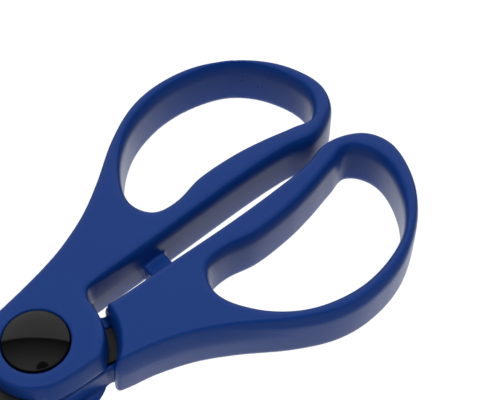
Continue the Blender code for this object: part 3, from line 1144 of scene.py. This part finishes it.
@dataclass
class Blade:
    """One blade: a steel strip with a ground cutting bevel and softened edges."""

    half: Half
    finish: CoatedSteel = field(default_factory=CoatedSteel)
    pivot_hole: float = 3.3
    edge_ease: float = 0.12

    def build(self) -> bpy.types.Object:
        """Build the blade's mesh.

        Returns:
            The blade, in its half's own frame.
        """
        hole = list(reversed(arc(self.pivot_hole, 0.0, 360.0, 48)[:-1]))
        strip = prism([blade_outline(), hole], PIVOT.meeting, PIVOT.blade_top)
        item = finish_mesh(strip, f"{self.half.prefix}_blade_strip", 20.0)
        normal = self.grind(item)
        shape = bmesh.new()
        shape.from_mesh(item.data)
        bmesh.ops.dissolve_limit(
            shape, angle_limit=math.radians(0.3), verts=shape.verts, edges=shape.edges)
        ground = shape.faces.layers.float.new("ground")
        for face in shape.faces:
            if face.normal.dot(normal) > 0.9995:
                face[ground] = 1.0
        shape.to_mesh(item.data)
        shape.free()
        ease = item.modifiers.new("ease", "BEVEL")
        ease.width = self.edge_ease * MM
        ease.segments = 2
        ease.limit_method = "ANGLE"
        ease.angle_limit = math.radians(30.0)
        ease.harden_normals = True
        return applied(item)

    def grind(self, item: bpy.types.Object) -> Vector:
        """Grind the cutting bevel.

        Args:
            item: The blade, in its half's own frame.

        Returns:
            The bevel's outward direction.
        """
        edge_height = PIVOT.meeting + BLADE.edge_land
        heel = Vector((-BLADE.heel_start, BLADE.heel_height, edge_height))
        tip = Vector((BLADE.tip_length - BLADE.reach, 0.5 * BLADE.tip_half, edge_height))
        along = tip - heel
        slope = math.atan2(PIVOT.blade_thickness - BLADE.edge_land, BLADE.edge_bevel)
        half_width = 2.0 * BLADE.edge_bevel
        shape = block(
            Vector((CUT_LOW, -half_width, 0.0)), Vector((along.length + 4.0, half_width, 8.0)))
        pose = Matrix.Translation(heel) @ Matrix.Rotation(
            math.atan2(along.y, along.x), 4, "Z") @ Matrix.Rotation(slope, 4, "X")
        bmesh.ops.transform(shape, matrix=pose, verts=shape.verts)
        boolean(item, finish_mesh(shape, "grinder"), "DIFFERENCE")
        return pose.to_3x3() @ Vector((0.0, 0.0, 1.0))

    def dress(self, blade: bpy.types.Object) -> None:
        """Give the blade its coating and hand it to its body."""
        material = self.finish.material(f"{self.half.prefix}_blade_coating")
        settle(blade, self.half, material, [f"{self.half.prefix}_blade"])


# ------------------------------------------------------------------------------ pivot covers


@dataclass
class Cover:
    """A cover over the pivot: a disc with a skirt that fits the seat."""

    name: str
    node: str
    half: Half
    rise: float
    finish: CapPlastic = field(default_factory=CapPlastic)
    wall: float = 1.0
    skirt: float = 2.6
    rim_round: float = 0.22

    def build(self) -> bpy.types.Object:
        """Build the cover's mesh.

        Returns:
            The cover, in its half's own frame.
        """
        radius = PIVOT.cap_radius
        top: List[Point2] = []
        if self.rise > 0.0:
            sphere = (radius ** 2 + self.rise ** 2) / (2.0 * self.rise)
            rim_angle = math.asin((radius - self.rim_round) / sphere)
            for step in range(29):
                angle = rim_angle * step / 28
                top.append((
                    sphere * math.sin(angle),
                    PIVOT.thickness + self.rise - sphere * (1.0 - math.cos(angle))))
        else:
            for step in range(7):
                top.append(((radius - self.rim_round) * step / 6, PIVOT.thickness))
        rim_height = top[-1][1]
        for step in range(1, 5):
            angle = math.radians(22.5 * step)
            top.append((
                radius - self.rim_round + self.rim_round * math.sin(angle),
                rim_height - self.rim_round * (1.0 - math.cos(angle))))
        low = PIVOT.thickness - self.skirt
        inner = radius - self.wall
        top.extend((
            (radius, low), (inner, low), (inner, PIVOT.thickness - self.wall),
            (0.0, PIVOT.thickness - self.wall)))
        return finish_mesh(turned(top, 128), self.name, 40.0)

    def dress(self, cover: bpy.types.Object) -> None:
        """Give the cover its plastic and hand it to its body."""
        material = self.finish.material(f"{self.name}_plastic")
        settle(cover, self.half, material, [self.node])


# ------------------------------------------------------------------------------ hardware


@dataclass
class Hardware:
    """The screw, nut and washers, which keep their CAD shapes."""

    def dress(self) -> None:
        """Give each carried-over node its own finish."""
        finishes = {
            "pivot_screw": HardwareSteel(MetalTone.ZINC),
            "pivot_nut": HardwareSteel(MetalTone.NICKEL, 0.30),
            "spring_washer": HardwareSteel(MetalTone.SPRING, 0.34),
            "thrust_washer": WasherNylon(),
        }
        for node, finish in finishes.items():
            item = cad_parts[node]
            item.data.materials.clear()
            item.data.materials.append(finish.material(f"{node}_finish"))
            log.info("%s: carried over", node)


# ------------------------------------------------------------------------------ studio


@dataclass
class Studio:
    """The pale surface, the light around it, and the camera."""

    turn: float = -40.4
    elevation: float = 57.5
    camera_place: Tuple[float, float, float] = (-0.065834, -0.147411, 0.316259)
    lens: float = 114.0
    floor_size: float = 6.0
    floor_glow: float = 1.0
    key_power: float = 4.5
    key_target: Tuple[float, float, float] = (0.04, 0.0, 0.0)
    key_height: float = 0.9
    key_setback: float = 0.08

    @property
    def spin(self) -> Matrix:
        """Turn from the frame's axes to the camera's right and its way ahead."""
        return Matrix.Rotation(math.radians(self.turn), 3, "Z")

    @property
    def away(self) -> Vector:
        """Level direction that leads away from the camera."""
        return self.spin @ Vector((0.0, 1.0, 0.0))

    def camera(self) -> None:
        """Place the camera."""
        spin = self.spin
        lift = math.radians(self.elevation)
        right = spin @ Vector((1.0, 0.0, 0.0))
        upward = spin @ Vector((0.0, math.sin(lift), math.cos(lift)))
        back = -(spin @ Vector((0.0, math.cos(lift), -math.sin(lift))))
        pose = Matrix((right, upward, back)).transposed().to_4x4()
        pose.translation = self.camera_place
        data = bpy.data.cameras.new("camera")
        data.sensor_width = 36.0
        data.lens = self.lens
        data.clip_start = 0.01
        item = bpy.data.objects.new("camera", data)
        item.matrix_world = pose
        bpy.context.scene.collection.objects.link(item)
        bpy.context.scene.camera = item

    def floor(self) -> None:
        """Lay the pale surface."""
        shape = bmesh.new()
        bmesh.ops.create_grid(shape, x_segments=1, y_segments=1, size=0.5 * self.floor_size / MM)
        bmesh.ops.translate(shape, verts=shape.verts, vec=(0.0, 0.0, -0.05))
        item = finish_mesh(shape, "floor")
        for face in item.data.polygons:
            if face.normal.z < 0.0:
                item.data.flip_normals()
        material, shader, surface = new_shader("pale_surface")
        surface.inputs["Base Color"].default_value = (0.06, 0.06, 0.06, 1.0)
        surface.inputs["Roughness"].default_value = 0.9
        surface.inputs["Specular IOR Level"].default_value = 0.0
        surface.inputs["Emission Color"].default_value = (1.0, 1.0, 1.0, 1.0)
        surface.inputs["Emission Strength"].default_value = self.floor_glow
        item.data.materials.append(material)
        item.visible_glossy = False

    def world(self) -> None:
        """Wrap the soft surroundings round the object.

        From below comes the pale surface's glow. Above are a far panel and a ceiling that
        brightens towards the camera, parted by a dark band, with one dark spot in the ceiling.
        """
        world = bpy.data.worlds.new("soft_surroundings")
        world.use_nodes = True
        bpy.context.scene.world = world
        shader = Shader(world.node_tree)
        direction = shader.add("ShaderNodeTexCoord", {}, {}, "Generated")
        ahead = shader.along(direction, self.away)
        side = shader.along(direction, self.spin @ Vector((1.0, 0.0, 0.0)))
        height = shader.add("ShaderNodeSeparateXYZ", {}, {"Vector": direction}, "Z")
        below = (0.0 - height).step(0.0, 0.06)
        under = (0.0 - height + ahead * 0.22).step(0.70, 0.92) * 0.95 + 0.05
        far_panel = ahead.step(0.41, 0.46) * 0.60
        ceiling = ahead.step(-0.50, -0.44) * (1.0 - ahead.step(0.33, 0.39))
        ceiling = ceiling * height.step(0.35, 0.60) * (0.23 - ahead * 0.6)
        spot_ahead = ahead + 0.43
        spot_side = side - 0.15
        off_spot = (spot_ahead * spot_ahead + spot_side * spot_side).step(0.030, 0.044)
        above = far_panel + ceiling * off_spot + 0.03
        strength = below * under + (1.0 - below) * above
        background = world.node_tree.nodes["Background"]
        background.inputs["Color"].default_value = (1.0, 1.0, 1.0, 1.0)
        shader.feed(background.inputs["Strength"], strength)

    def key(self) -> None:
        """Hang the large soft key light over the object, a little to the camera's side."""
        data = bpy.data.lights.new("key", "AREA")
        data.shape = "RECTANGLE"
        data.size = 0.9
        data.size_y = 0.6
        data.energy = self.key_power
        item = bpy.data.objects.new("key", data)
        target = Vector(self.key_target)
        item.location = target - self.away * self.key_setback + Vector((0.0, 0.0, self.key_height))
        aim = target - item.location
        item.rotation_euler = aim.to_track_quat("-Z", "Y").to_euler()
        item.visible_camera = False
        item.visible_glossy = False
        bpy.context.scene.collection.objects.link(item)

    def build(self) -> None:
        """Set up the whole studio."""
        scene = bpy.context.scene
        scene.view_settings.view_transform = "Standard"
        self.camera()
        self.floor()
        self.world()
        self.key()


# ------------------------------------------------------------------------------ main


def main() -> None:
    """Build the studio and every piece, in order."""
    Studio().build()
    upper_bow = Bow(96.7, 38.9, 39.2, 4.8, 3.5, 6.6, 3.1, 1.2, 0.0, 0.0)
    lower_bow = Bow(97.9, 39.7, 39.2, 5.6, 3.8, 6.5, 3.3, 1.3, 0.9, 2.2)
    for handle in (
            Handle(Half.UPPER, upper_bow, True),
            Handle(Half.LOWER, lower_bow, False, gap_lead=-8.0)):
        handle.dress(handle.build())
    for blade in (Blade(Half.UPPER), Blade(Half.LOWER)):
        blade.dress(blade.build())
    for cover in (
            Cover("domed_cap", "pivot_cap", Half.UPPER, 1.9),
            Cover("flat_cap", "underside_cap", Half.LOWER, 0.0)):
        cover.dress(cover.build())
    Hardware().dress()


if __name__ == "__main__":
    main()
